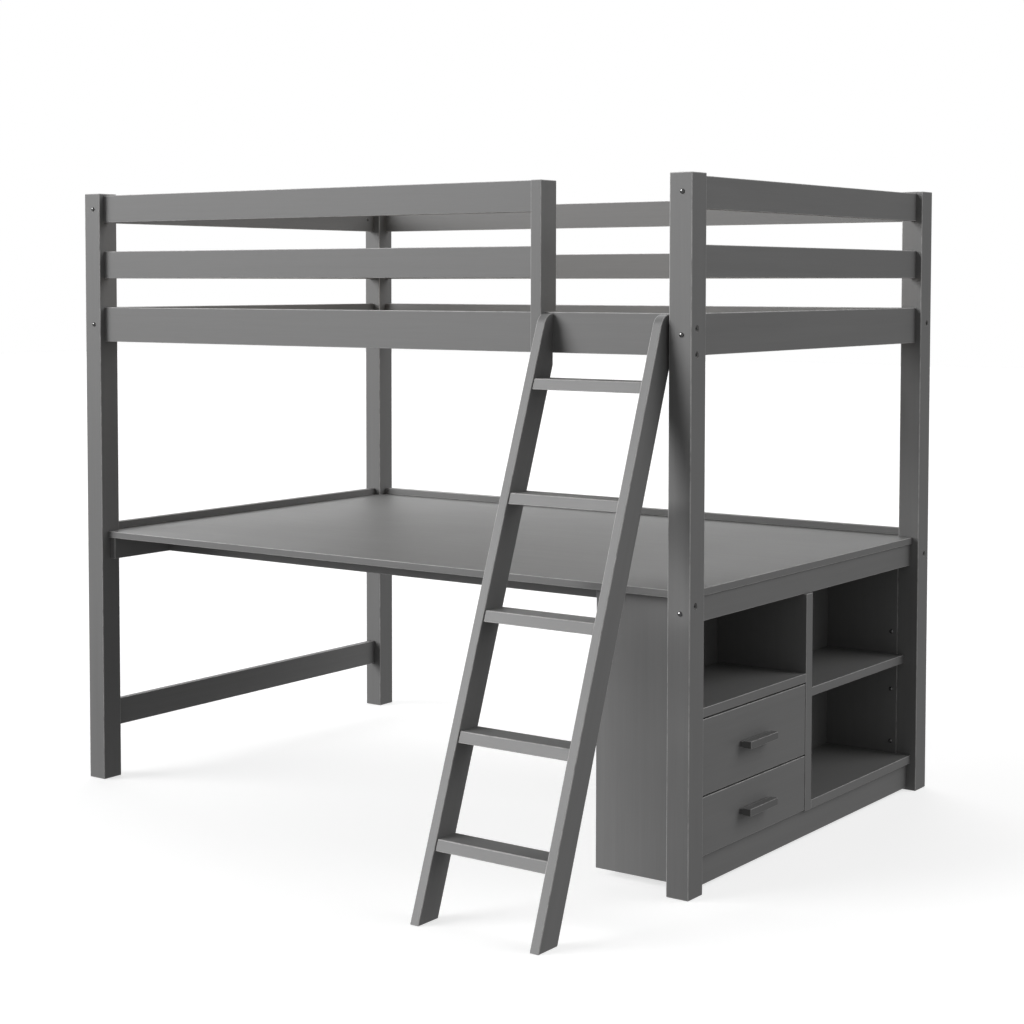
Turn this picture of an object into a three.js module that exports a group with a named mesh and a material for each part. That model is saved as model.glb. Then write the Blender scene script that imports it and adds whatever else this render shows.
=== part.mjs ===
// Loft bed with a ladder, a full-size desk and a drawer cabinet under it.
// Millimetres. X runs along the bed from its left end, Y from the front to the back, Z up from the floor.
// Every board is laid out from the left front post's outer corner, and the whole bed is then moved so that
// the origin is at the bottom centre of its box.
import * as THREE from 'three';

// Overall
const LENGTH = 2168;
const WIDTH = 1448;
const HEIGHT = 1830;
const FIT = 0.3; // gap between two boards that touch

// Posts and rails
const POST_X = 65;
const POST_Y = 72;
const RAIL_T = 20;
const RAIL_RECESS = 18; // from a post's outer face to a rail's outer face
const GUARD_RAIL_H = 83;
const TOP_RAIL_DROP = 6; // from a post's top to the top rail
const BED_RAIL_Z = 1373; // underside of the rails that carry the mattress
const BED_RAIL_H = 106;
const STRETCHER_Z = 155;

// Mattress base
const LEDGER_T = 22;
const LEDGER_H = 30;
const LEDGER_RISE = 12; // above the underside of the bed rail
const SLATS = 10;
const SLAT_W = 100;
const SLAT_T = 19;
const SLAT_MARGIN = 10; // from the posts to the first and last slat
const SLAT_END_GAP = 3;

// Ladder and its entry
const ENTRY_WIDTH = 387; // between the guard post and the right front post
const GUARD_POST_X = 33;
const LADDER_LEFT_GAP = 1;
const LADDER_RIGHT_GAP = 8;
const LADDER_LEAN = THREE.MathUtils.degToRad(20.35);
const LADDER_TOP_DROP = 3; // from the top of the bed rail to the stile's top
const STILE_T = 26;
const STILE_DEPTH = 80; // measured level
const STILE_HEAD = 30; // depth left at the stile's top
const STILE_ROUND = 40;
const TREADS = 5;
const TREAD_T = 28;
const TREAD_INSET = 4; // from the stile's front and back
const FIRST_TREAD_TOP = 198;
const TREAD_PITCH = 287; // between the other treads' tops
const LAST_TREAD_DROP = 64; // from the underside of the bed rail to the last tread's top

// Desk
const DESK_TOP_Z = 780;
const SLAB_T = 20;
const DESK_SETBACK = 24; // front, back and left
const DESK_END_SETBACK = 20; // at the cabinet's end
const LIP_T = 18;
const LIP_H = 22;
const APRON_T = 20;
const APRON_H = 66;
const APRON_END = 34; // from the bed's front and back to the left apron's ends
const APRON_RECESS = 26; // from the bed's right end
const DESK_RAIL_SETBACK = 273;

// Cabinet
const CABINET_RECESS = 18; // from the bed's right end to the drawer fronts
const CABINET_DEPTH = 294;
const SIDE_T = 17;
const SIDE_LIFT = 20;
const BACK_T = 12;
const DIVIDER_T = 37;
const DIVIDER_FOOT = 42; // the stretch of divider that comes down in front of the floor board
const DRAWER_BAY_W = 602;
const SHELF_T = 25;
const FLOOR_Z = 84;
const DRAWER_SHELF_Z = 447;
const OPEN_SHELF_Z = 391;
const OPEN_SHELF_RECESS = 44;
const PLINTH_T = 18;
const PLINTH_LIFT = 8;
const PLINTH_RECESS = 30;

// Drawers
const DRAWER_GAP = 4.5;
const FRONT_T = 18;
const LOWER_FRONT_H = 152.5;
const RUNNER_SPACE = 13;
const BOX_T = 12;
const BOX_BACK_GAP = 14; // behind a closed drawer's box
const BOX_RAISE = 32; // from the front's lower edge to the box
const BOX_DROP = 30; // from the front's upper edge to the box
const BOX_BOTTOM_T = 6;
const BOX_BOTTOM_RISE = 8;
const HANDLE_L = 152;
const HANDLE_H = 20;
const HANDLE_OUT = 33;
const HANDLE_NECK_H = 16;
const HANDLE_NECK = 8;

// Places that several pieces share
const xIn = [POST_X, LENGTH - POST_X];
const yIn = [POST_Y, WIDTH - POST_Y];
const betweenX = [xIn[0] + FIT, xIn[1] - FIT];
const betweenY = [yIn[0] + FIT, yIn[1] - FIT];
const bedRailTop = BED_RAIL_Z + BED_RAIL_H;
const topRailZ = HEIGHT - TOP_RAIL_DROP - GUARD_RAIL_H;
const middleRailZ = (bedRailTop + topRailZ - GUARD_RAIL_H) / 2;
const guardPostX = xIn[1] - ENTRY_WIDTH - GUARD_POST_X;
const slabZ = DESK_TOP_Z - SLAB_T;
const underSlab = slabZ - FIT;
const cabinetFront = LENGTH - CABINET_RECESS;
const cabinetBack = cabinetFront - CABINET_DEPTH;
const cabinetInside = cabinetBack + BACK_T + FIT;
const dividerY = yIn[0] + DRAWER_BAY_W;
const drawerBay = [betweenY[0], dividerY - FIT];
const openBay = [dividerY + DIVIDER_T + FIT, betweenY[1]];
const frontBack = cabinetFront - FRONT_T;

const paint = { color: 0x6f7072, roughness: 0.5, metalness: 0 };
const pine = { color: 0xc9a87c, roughness: 0.7, metalness: 0 };

const bed = new THREE.Group();

function addMesh(name, geometry, finish, position) {
  const mesh = new THREE.Mesh(geometry, new THREE.MeshStandardMaterial(finish));
  mesh.name = name;
  mesh.position.set(...position);
  bed.add(mesh);
}

// A plain board between two values on each axis.
function addBoard(name, x, y, z, finish = paint) {
  const size = [x, y, z].map(([low, high]) => high - low);
  const centre = [x, y, z].map(([low, high]) => (low + high) / 2);
  addMesh(name, new THREE.BoxGeometry(...size), finish, centre);
}

// An outline drawn in the plane across an axis, and pushed along that axis from one value to another.
const acrossAxis = {
  x: { basis: [[0, 1, 0], [0, 0, 1], [1, 0, 0]], flat: (y, z) => [y, z] },
  y: { basis: [[0, 0, 1], [1, 0, 0], [0, 1, 0]], flat: (x, z) => [z, x] },
  z: { basis: [[1, 0, 0], [0, 1, 0], [0, 0, 1]], flat: (x, y) => [x, y] },
};

function toShape(outline, flat) {
  return new THREE.Shape(outline.map((point) => new THREE.Vector2(...flat(...point))));
}

function addProfile(name, axis, [from, to], outline, finish = paint, hole = null) {
  const { basis, flat } = acrossAxis[axis];
  const shape = toShape(outline, flat);
  if (hole) {
    shape.holes.push(toShape(hole, flat));
  }
  const geometry = new THREE.ExtrudeGeometry(shape, { depth: to - from, bevelEnabled: false });
  const columns = basis.map((column) => new THREE.Vector3(...column));
  geometry.applyMatrix4(new THREE.Matrix4().makeBasis(...columns));
  addMesh(name, geometry, finish, columns[2].multiplyScalar(from).toArray());
}

function rectangle([a0, a1], [b0, b1]) {
  return [[a0, b0], [a1, b0], [a1, b1], [a0, b1]];
}

function addPosts() {
  const ends = { left: [0, POST_X], right: [xIn[1], LENGTH] };
  const sides = { front: [0, POST_Y], back: [yIn[1], WIDTH] };
  for (const [side, y] of Object.entries(sides)) {
    for (const [end, x] of Object.entries(ends)) {
      addBoard(`post_${side}_${end}`, x, y, [0, HEIGHT]);
    }
  }
}

// The guard post stands on the front bed rail and laps over the rail's outer face.
function addGuardPost() {
  const lapY = RAIL_RECESS - FIT;
  const shoulderZ = bedRailTop + FIT;
  const guardTop = HEIGHT - TOP_RAIL_DROP;
  const outline = [
    [0, BED_RAIL_Z], [lapY, BED_RAIL_Z], [lapY, shoulderZ],
    [POST_Y, shoulderZ], [POST_Y, guardTop], [0, guardTop],
  ];
  addProfile('guard_post', 'x', [guardPostX, guardPostX + GUARD_POST_X], outline);
}

function addRails() {
  const outer = [RAIL_RECESS, RAIL_RECESS + RAIL_T];
  const opposite = (total) => [total - outer[1], total - outer[0]];
  const levels = {
    top: [topRailZ, topRailZ + GUARD_RAIL_H],
    middle: [middleRailZ, middleRailZ + GUARD_RAIL_H],
    bed: [BED_RAIL_Z, bedRailTop],
  };
  for (const [level, z] of Object.entries(levels)) {
    const frontX = level === 'bed' ? betweenX : [betweenX[0], guardPostX - FIT];
    addBoard(`rail_front_${level}`, frontX, outer, z);
    addBoard(`rail_back_${level}`, betweenX, opposite(WIDTH), z);
    addBoard(`rail_left_${level}`, outer, betweenY, z);
    addBoard(`rail_right_${level}`, opposite(LENGTH), betweenY, z);
  }
  addBoard('stretcher_left', outer, betweenY, [STRETCHER_Z, STRETCHER_Z + GUARD_RAIL_H]);
}

function addMattressBase() {
  const railInside = RAIL_RECESS + RAIL_T + FIT;
  const ledgerZ = BED_RAIL_Z + LEDGER_RISE;
  const ledgerTop = ledgerZ + LEDGER_H;
  addBoard('ledger_front', betweenX, [railInside, railInside + LEDGER_T], [ledgerZ, ledgerTop]);
  addBoard('ledger_back', betweenX, [WIDTH - railInside - LEDGER_T, WIDTH - railInside], [ledgerZ, ledgerTop]);
  const firstX = xIn[0] + SLAT_MARGIN;
  const lastX = xIn[1] - SLAT_MARGIN - SLAT_W;
  const slatY = [railInside + SLAT_END_GAP, WIDTH - railInside - SLAT_END_GAP];
  const slatZ = [ledgerTop + FIT, ledgerTop + FIT + SLAT_T];
  for (let i = 0; i < SLATS; i += 1) {
    const x = firstX + ((lastX - firstX) * i) / (SLATS - 1);
    addBoard(`slat_${i + 1}`, [x, x + SLAT_W], slatY, slatZ, pine);
  }
}

const run = Math.tan(LADDER_LEAN);
const ladderTop = bedRailTop - LADDER_TOP_DROP;
const stileBack = RAIL_RECESS - FIT;
const ladderFootY = stileBack - STILE_HEAD - run * ladderTop;
const stileFrontY = (z) => ladderFootY + run * z;

// The stile leans on the bed rail: its back is cut upright there, and its front corner is rounded.
function addStile(name, x) {
  const cutZ = (stileBack - STILE_DEPTH - ladderFootY) / run;
  const turn = (Math.PI / 2 - LADDER_LEAN) / 2;
  const round = Math.min(STILE_ROUND, (STILE_HEAD - FIT) / Math.tan(turn));
  const centreY = stileFrontY(ladderTop) + round * Math.tan(turn);
  const centreZ = ladderTop - round;
  const outline = [[ladderFootY + STILE_DEPTH, 0], [stileBack, cutZ], [stileBack, ladderTop]];
  const steps = 8;
  for (let i = 0; i <= steps; i += 1) {
    const angle = Math.PI / 2 + (2 * turn * i) / steps;
    outline.push([centreY + round * Math.cos(angle), centreZ + round * Math.sin(angle)]);
  }
  outline.push([ladderFootY, 0]);
  addProfile(name, 'x', [x, x + STILE_T], outline);
}

function addLadder() {
  const leftX = guardPostX + GUARD_POST_X + LADDER_LEFT_GAP;
  const rightX = xIn[1] - LADDER_RIGHT_GAP - STILE_T;
  addStile('ladder_stile_left', leftX);
  addStile('ladder_stile_right', rightX);
  const lastTop = BED_RAIL_Z - LAST_TREAD_DROP;
  for (let i = 0; i < TREADS; i += 1) {
    const top = i === 0 ? FIRST_TREAD_TOP : lastTop - TREAD_PITCH * (TREADS - 1 - i);
    const bottom = top - TREAD_T;
    const outline = [
      [stileFrontY(bottom) + TREAD_INSET, bottom],
      [stileFrontY(bottom) + STILE_DEPTH - TREAD_INSET, bottom],
      [stileFrontY(top) + STILE_DEPTH - TREAD_INSET, top],
      [stileFrontY(top) + TREAD_INSET, top],
    ];
    addProfile(`ladder_tread_${i + 1}`, 'x', [leftX + STILE_T + FIT, rightX - FIT], outline);
  }
}

// The slab is notched round all four posts.
function addDeskSlab() {
  const x = [DESK_SETBACK, LENGTH - DESK_END_SETBACK];
  const y = [DESK_SETBACK, WIDTH - DESK_SETBACK];
  const outline = [
    [betweenX[0], y[0]], [betweenX[1], y[0]], [betweenX[1], betweenY[0]], [x[1], betweenY[0]],
    [x[1], betweenY[1]], [betweenX[1], betweenY[1]], [betweenX[1], y[1]], [betweenX[0], y[1]],
    [betweenX[0], betweenY[1]], [x[0], betweenY[1]], [x[0], betweenY[0]], [betweenX[0], betweenY[0]],
  ];
  addProfile('desk_top', 'z', [slabZ, DESK_TOP_Z], outline);
}

function addDeskFrame() {
  const lipZ = [DESK_TOP_Z + FIT, DESK_TOP_Z + FIT + LIP_H];
  const backLipY = [WIDTH - DESK_SETBACK - LIP_T, WIDTH - DESK_SETBACK];
  addBoard('desk_lip_left', [DESK_SETBACK, DESK_SETBACK + LIP_T], betweenY, lipZ);
  addBoard('desk_lip_back', betweenX, backLipY, lipZ);
  const apronZ = [underSlab - APRON_H, underSlab];
  const leftApronX = [betweenX[0], betweenX[0] + APRON_T];
  const rightApronX = [LENGTH - APRON_RECESS - APRON_T, LENGTH - APRON_RECESS];
  addBoard('desk_apron_left', leftApronX, [APRON_END, WIDTH - APRON_END], apronZ);
  addBoard('desk_apron_right', rightApronX, betweenY, apronZ);
  const railX = [leftApronX[1] + FIT, cabinetBack - FIT];
  const railY = [DESK_RAIL_SETBACK, DESK_RAIL_SETBACK + APRON_T];
  addBoard('desk_rail_front', railX, railY, apronZ);
  addBoard('desk_rail_back', railX, [WIDTH - railY[1], WIDTH - railY[0]], apronZ);
}

function addCabinetCase() {
  const sideX = [cabinetBack, betweenX[1]];
  const sideZ = [SIDE_LIFT, underSlab];
  const insideY = [yIn[0], yIn[1]];
  addBoard('cabinet_side_front', sideX, [insideY[0] - SIDE_T, insideY[0]], sideZ);
  addBoard('cabinet_side_back', sideX, [insideY[1], insideY[1] + SIDE_T], sideZ);
  addBoard('cabinet_back', [cabinetBack, cabinetBack + BACK_T], betweenY, sideZ);
  const plinthX = LENGTH - PLINTH_RECESS;
  addBoard('cabinet_plinth', [plinthX - PLINTH_T, plinthX], betweenY, [PLINTH_LIFT, FLOOR_Z - FIT]);
}

// The divider stands on the floor board, hooks down in front of it, and is cut away round the desk apron.
function addDivider() {
  const floorTop = FLOOR_Z + SHELF_T + FIT;
  const footX = cabinetFront - DIVIDER_FOOT;
  const apronUnder = underSlab - APRON_H - FIT;
  const apronBackX = LENGTH - APRON_RECESS - APRON_T - FIT;
  const outline = [
    [cabinetInside, floorTop], [footX, floorTop], [footX, FLOOR_Z], [cabinetFront, FLOOR_Z],
    [cabinetFront, apronUnder], [apronBackX, apronUnder], [apronBackX, underSlab], [cabinetInside, underSlab],
  ];
  addProfile('cabinet_divider', 'y', [dividerY, dividerY + DIVIDER_T], outline);
}

function addShelves() {
  const behindDrawer = frontBack - DRAWER_GAP;
  const footNotchX = cabinetFront - DIVIDER_FOOT - FIT;
  const floor = [
    [cabinetInside, drawerBay[0]], [behindDrawer, drawerBay[0]],
    [behindDrawer, drawerBay[1]], [footNotchX, drawerBay[1]],
    [footNotchX, openBay[0]], [cabinetFront, openBay[0]],
    [cabinetFront, openBay[1]], [cabinetInside, openBay[1]],
  ];
  addProfile('cabinet_floor', 'z', [FLOOR_Z, FLOOR_Z + SHELF_T], floor);
  const shelfX = [cabinetInside, cabinetFront];
  addBoard('shelf_over_drawers', shelfX, drawerBay, [DRAWER_SHELF_Z, DRAWER_SHELF_Z + SHELF_T]);
  const openX = [cabinetInside, LENGTH - OPEN_SHELF_RECESS];
  addBoard('shelf_open', openX, openBay, [OPEN_SHELF_Z, OPEN_SHELF_Z + SHELF_T]);
}

// A drawer is a front, a four-sided box behind it, a bottom let into the box, and a bar handle.
function addDrawer(name, z) {
  const y = [yIn[0] + DRAWER_GAP, dividerY - DRAWER_GAP];
  addBoard(`${name}_front`, [frontBack, cabinetFront], y, z);
  const boxX = [cabinetInside + BOX_BACK_GAP, frontBack - FIT];
  const boxY = [yIn[0] + RUNNER_SPACE, dividerY - RUNNER_SPACE];
  const boxZ = [z[0] + BOX_RAISE, z[1] - BOX_DROP];
  const insideX = [boxX[0] + BOX_T, boxX[1] - BOX_T];
  const insideY = [boxY[0] + BOX_T, boxY[1] - BOX_T];
  const hole = rectangle(insideX, insideY);
  addProfile(`${name}_box`, 'z', boxZ, rectangle(boxX, boxY), pine, hole);
  const bottomX = [insideX[0] + FIT, insideX[1] - FIT];
  const bottomY = [insideY[0] + FIT, insideY[1] - FIT];
  const bottomZ = boxZ[0] + BOX_BOTTOM_RISE;
  addBoard(`${name}_bottom`, bottomX, bottomY, [bottomZ, bottomZ + BOX_BOTTOM_T], pine);
  addHandle(name, (y[0] + y[1]) / 2, (z[0] + z[1]) / 2);
}

// A wooden bar with a narrower neck, so that fingertips find a grip above and below it.
function addHandle(name, centreY, centreZ) {
  const x0 = cabinetFront + FIT;
  const x1 = x0 + HANDLE_NECK;
  const x2 = x1 + (HANDLE_H - HANDLE_NECK_H) / 2;
  const x3 = x0 + HANDLE_OUT;
  const neck = HANDLE_NECK_H / 2;
  const half = HANDLE_H / 2;
  const lower = [[x0, -neck], [x1, -neck], [x2, -half], [x3, -half]];
  const upper = [[x3, half], [x2, half], [x1, neck], [x0, neck]];
  const outline = [...lower, ...upper].map(([x, z]) => [x, centreZ + z]);
  addProfile(`${name}_handle`, 'y', [centreY - HANDLE_L / 2, centreY + HANDLE_L / 2], outline);
}

addPosts();
addGuardPost();
addRails();
addMattressBase();
addLadder();
addDeskSlab();
addDeskFrame();
addCabinetCase();
addDivider();
addShelves();
const lowerFrontZ = [FLOOR_Z + DRAWER_GAP, FLOOR_Z + DRAWER_GAP + LOWER_FRONT_H];
addDrawer('lower_drawer', lowerFrontZ);
addDrawer('upper_drawer', [lowerFrontZ[1] + DRAWER_GAP, DRAWER_SHELF_Z - DRAWER_GAP]);

// The box runs from the left posts to the drawer handles, and from the ladder's feet to the back posts.
const boxX = [0, cabinetFront + FIT + HANDLE_OUT];
const boxY = [ladderFootY, WIDTH];
bed.position.set(-(boxX[0] + boxX[1]) / 2, -(boxY[0] + boxY[1]) / 2, 0);

export default bed;
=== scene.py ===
"""Loft bed with a leaning ladder, a desk and a drawer cabinet: finished boards, hardware and finishes.

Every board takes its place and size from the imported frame. Lengths are in metres.
"""
import logging
import math
from dataclasses import dataclass, field
from enum import Enum
from typing import Callable, Iterable, Sequence

import bmesh
import bpy
from mathutils import Matrix, Vector


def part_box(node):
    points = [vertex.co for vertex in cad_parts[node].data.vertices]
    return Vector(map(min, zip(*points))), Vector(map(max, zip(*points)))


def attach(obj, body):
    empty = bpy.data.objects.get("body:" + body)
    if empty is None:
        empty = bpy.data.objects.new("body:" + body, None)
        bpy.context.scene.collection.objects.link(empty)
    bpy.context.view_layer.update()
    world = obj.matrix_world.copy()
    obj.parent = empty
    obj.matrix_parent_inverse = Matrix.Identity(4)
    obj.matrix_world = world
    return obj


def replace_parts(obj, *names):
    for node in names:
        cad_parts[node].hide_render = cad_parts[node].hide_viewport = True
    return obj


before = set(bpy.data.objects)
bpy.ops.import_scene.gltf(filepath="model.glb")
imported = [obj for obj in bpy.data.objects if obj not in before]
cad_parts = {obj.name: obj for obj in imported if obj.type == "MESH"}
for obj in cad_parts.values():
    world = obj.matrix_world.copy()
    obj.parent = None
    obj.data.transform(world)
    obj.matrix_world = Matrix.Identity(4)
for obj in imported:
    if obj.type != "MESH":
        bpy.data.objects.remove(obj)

LOG = logging.getLogger("loft_bed")
ROOT_BODY = "frame"
MM = 0.001


class Grain(Enum):
    """The way the wood's fibres run in a board."""

    ALONG_X = "x"
    ALONG_Y = "y"
    ALONG_Z = "z"
    UP_STILE = "stile"


class Axis(Enum):
    """A direction that a piece of hardware faces."""

    RIGHT = (1.0, 0.0, 0.0)
    LEFT = (-1.0, 0.0, 0.0)
    FRONT = (0.0, -1.0, 0.0)
    BACK = (0.0, 1.0, 0.0)
    UP = (0.0, 0.0, 1.0)
    DOWN = (0.0, 0.0, -1.0)


# ----------------------------------------------------------
# Shader maths
# ----------------------------------------------------------


class Signal:
    """A number that varies over a surface: the output socket of a shader node."""

    def __init__(self, shader: "Shader", socket: bpy.types.NodeSocket) -> None:
        """Wraps a socket.

        Args:
            shader: The shader that the socket belongs to.
            socket: The output socket.
        """
        self.shader = shader
        self.socket = socket

    def __add__(self, other: "Signal | float") -> "Signal":
        """Returns this plus other."""
        return self.shader.maths("ADD", self, other)

    __radd__ = __add__

    def __sub__(self, other: "Signal | float") -> "Signal":
        """Returns this minus other."""
        return self.shader.maths("SUBTRACT", self, other)

    def __rsub__(self, other: float) -> "Signal":
        """Returns other minus this."""
        return self.shader.maths("SUBTRACT", other, self)

    def __mul__(self, other: "Signal | float") -> "Signal":
        """Returns this times other."""
        return self.shader.maths("MULTIPLY", self, other)

    __rmul__ = __mul__

    def clamped(self, low: float, high: float) -> "Signal":
        """Stretches this so that low becomes 0 and high becomes 1, and clamps it there.

        Args:
            low: The value that becomes 0.
            high: The value that becomes 1.

        Returns:
            The stretched and clamped signal.
        """
        settings = {"clamp": True}
        inputs = {"Value": self, "From Min": low, "From Max": high}
        return self.shader.node("ShaderNodeMapRange", settings, inputs)


class Shader:
    """A material's node tree, and the few ways in which nodes are added to it."""

    def __init__(self, name: str) -> None:
        """Makes a material with a Principled shader.

        Args:
            name: The material's name.
        """
        self.material = bpy.data.materials.new(name)
        self.material.use_nodes = True
        self.tree = self.material.node_tree
        self.surface = self.tree.nodes["Principled BSDF"]

    def node(self, kind: str, settings: dict, inputs: dict, output: int = 0) -> Signal:
        """Adds a node.

        Args:
            kind: The node's type.
            settings: The node's own properties, which are set first.
            inputs: What goes into each socket, by name or number: a Signal or a plain value.
            output: The number of the output that is returned.

        Returns:
            The chosen output.
        """
        made = self.tree.nodes.new(kind)
        for name, value in settings.items():
            setattr(made, name, value)
        for key, value in inputs.items():
            self.feed(made.inputs[key], value)
        return Signal(self, made.outputs[output])

    def feed(self, socket: bpy.types.NodeSocket, value: object) -> None:
        """Links a signal to a socket, or sets the socket's own value.

        Args:
            socket: The input socket.
            value: A Signal, or a plain value that the socket can hold.
        """
        if isinstance(value, Signal):
            self.tree.links.new(value.socket, socket)
        else:
            socket.default_value = value

    def maths(self, operation: str, first: "Signal | float", second: "Signal | float") -> Signal:
        """Adds a Math node for a sum on one or two signals."""
        return self.node("ShaderNodeMath", {"operation": operation}, {0: first, 1: second})

    def coordinates(self, stretch: Sequence[float], turn: Sequence[float] = (0.0, 0.0, 0.0)) -> Signal:
        """Object coordinates, turned and stretched.

        Args:
            stretch: How often the pattern repeats in a metre along each axis.
            turn: The turn about each axis, in radians.

        Returns:
            The coordinates.
        """
        place = self.node("ShaderNodeTexCoord", {}, {}, output=3)
        turned = self.node("ShaderNodeMapping", {}, {"Vector": place, "Rotation": turn})
        return self.node("ShaderNodeMapping", {}, {"Vector": turned, "Scale": stretch})

    def noise(
        self, where: Signal, detail: float = 3.0, roughness: float = 0.5, twist: float = 0.0
    ) -> Signal:
        """Noise from 0 to 1 on coordinates that are already to scale.

        Args:
            where: The coordinates.
            detail: The number of finer layers.
            roughness: How strongly they show.
            twist: How far the pattern is warped.

        Returns:
            The noise.
        """
        inputs = {"Vector": where, "Scale": 1.0, "Detail": detail, "Roughness": roughness}
        inputs["Distortion"] = twist
        return self.node("ShaderNodeTexNoise", {"noise_dimensions": "3D"}, inputs)

    def blend(self, share: Signal, first: object, second: object) -> Signal:
        """Mixes two colours.

        Args:
            share: How much of the second colour shows.
            first: A colour or a signal.
            second: A colour or a signal.

        Returns:
            The mixed colour.
        """
        return self.node("ShaderNodeMix", {"data_type": "RGBA"}, {0: share, 6: first, 7: second}, output=2)

    def attribute(self, name: str) -> Signal:
        """A number that the mesh holds."""
        return self.node("ShaderNodeAttribute", {"attribute_name": name}, {}, output=2)

    def bump(self, height: Signal, distance: float, strength: float = 1.0) -> Signal:
        """A normal from a height, in metres."""
        inputs = {"Strength": strength, "Distance": distance, "Height": height}
        return self.node("ShaderNodeBump", {}, inputs)

    def finish(self, **inputs: object) -> bpy.types.Material:
        """Feeds the Principled shader.

        Args:
            **inputs: The sockets, with spaces written as underscores.

        Returns:
            The finished material.
        """
        for name, value in inputs.items():
            self.feed(self.surface.inputs[name.replace("_", " ")], value)
        return self.material


def grey(level: float, warmth: float = 0.0) -> tuple[float, float, float, float]:
    """A near-neutral colour.

    Args:
        level: The linear brightness.
        warmth: How much more red than blue, as a share.

    Returns:
        Red, green, blue and alpha.
    """
    return (level * (1 + warmth), level, level * (1 - warmth), 1.0)


# ----------------------------------------------------------
# Finishes
# ----------------------------------------------------------

ARRIS = "arris"  # the face attribute that marks a board's eased edges and its pocket walls, which the finishes lighten; on the grey paint that is wear and a painted highlight
MID = 0.5  # the middle of the noise's range
STILE_LEAN = math.radians(20.35)

GRAIN_TURNS = {
    Grain.ALONG_X: (0.0, 0.0, 0.0),
    Grain.ALONG_Y: (0.0, 0.0, -math.pi / 2),
    Grain.ALONG_Z: (0.0, math.pi / 2, 0.0),
    Grain.UP_STILE: (STILE_LEAN, 0.0, 0.0),
}


def even(pitch: float) -> tuple[float, float, float]:
    """The same number of repeats in a metre along every axis."""
    return (pitch, pitch, pitch)


def grain_frame(shader: Shader, grain: Grain, along: float, across: float) -> Signal:
    """Coordinates whose pattern is long along the grain and short across it.

    Args:
        shader: The shader being made.
        grain: The way the fibres run.
        along: Repeats in a metre along the grain.
        across: Repeats in a metre across it.

    Returns:
        The coordinates.
    """
    stretch = (along, across, across)
    if grain is Grain.UP_STILE:
        stretch = (across, across, along)
    return shader.coordinates(stretch, GRAIN_TURNS[grain])


@dataclass(frozen=True)
class GreyPaint:
    """Satin grey paint that lets a little of the wood's grain show, lightened on the arrises and pocket
    walls by wear and a painted highlight.
    """

    name: str = "grey_paint"
    slot: str = "grey_paint"
    level: float = 0.180
    shade: float = 0.06
    warmth: float = 0.004
    # Pale tone on the arrises and pocket walls: partly wear, partly a painted highlight where light would
    # catch them.
    wear_and_highlight_level: float = 0.50
    wear_and_highlight_warmth: float = 0.01
    wear_and_highlight_share: float = 0.85
    gloss_rough: float = 0.46
    grain_depth: float = 0.16 * MM
    peel_depth: float = 0.05 * MM
    fibre_pitch: tuple[float, float] = (1.6, 55.0)  # repeats in a metre, along the grain and across it
    pore_pitch: tuple[float, float] = (9.0, 420.0)
    cloud_pitch: float = 3.2
    peel_pitch: float = 700.0
    wear_and_highlight_pitch: float = 28.0
    tone_shares: tuple[float, float, float] = (0.55, 0.25, 0.20)  # fibres, pores and clouds
    height_shares: tuple[float, float] = (0.55, 0.45)  # fibres and pores
    rough_swings: tuple[float, float, float] = (0.14, 0.10, 0.08)  # fibres, clouds, and the worn and highlit arrises

    def material(self, grain: Grain) -> bpy.types.Material:
        """Makes the paint for boards whose grain runs one way.

        Args:
            grain: The way the fibres run.

        Returns:
            The material.
        """
        shader = Shader(f"{self.name}_{grain.value}")
        fibres = grain_frame(shader, grain, *self.fibre_pitch)
        streaks = shader.noise(fibres, detail=5.0, roughness=0.62, twist=0.35)
        pores = shader.noise(grain_frame(shader, grain, *self.pore_pitch), detail=2.0, roughness=0.55)
        clouds = shader.noise(shader.coordinates(even(self.cloud_pitch)), detail=2.0)
        peel = shader.noise(shader.coordinates(even(self.peel_pitch)), detail=1.0)
        by_streaks, by_pores, by_clouds = self.tone_shares
        tone = streaks * by_streaks + pores * by_pores + clouds * by_clouds
        dark = grey(self.level * (1 - self.shade), self.warmth)
        light = grey(self.level * (1 + self.shade), self.warmth)
        painted = shader.blend(tone.clamped(0.32, 0.68), dark, light)
        # Painted highlight with wear: faces with the arris mark are blended towards the pale tone through
        # patchy noise.
        wear_and_highlight_noise = shader.noise(shader.coordinates(even(self.wear_and_highlight_pitch)), detail=4.0, roughness=0.6)
        wear_and_highlight = shader.attribute(ARRIS) * wear_and_highlight_noise.clamped(0.15, 0.55)
        wear_and_highlight_colour = grey(self.wear_and_highlight_level, self.wear_and_highlight_warmth)
        colour = shader.blend(wear_and_highlight * self.wear_and_highlight_share, painted, wear_and_highlight_colour)
        by_streaks, by_clouds, by_wear_and_highlight = self.rough_swings
        rough = self.gloss_rough + (streaks - MID) * by_streaks + (clouds - MID) * by_clouds
        rough = rough + wear_and_highlight * by_wear_and_highlight
        by_streaks, by_pores = self.height_shares
        grained = shader.bump(streaks * by_streaks + pores * by_pores, self.grain_depth)
        peeled = {"Strength": 1.0, "Distance": self.peel_depth, "Height": peel, "Normal": grained}
        normal = shader.node("ShaderNodeBump", {}, peeled)
        return shader.finish(Base_Color=colour, Roughness=rough, Normal=normal)


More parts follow.
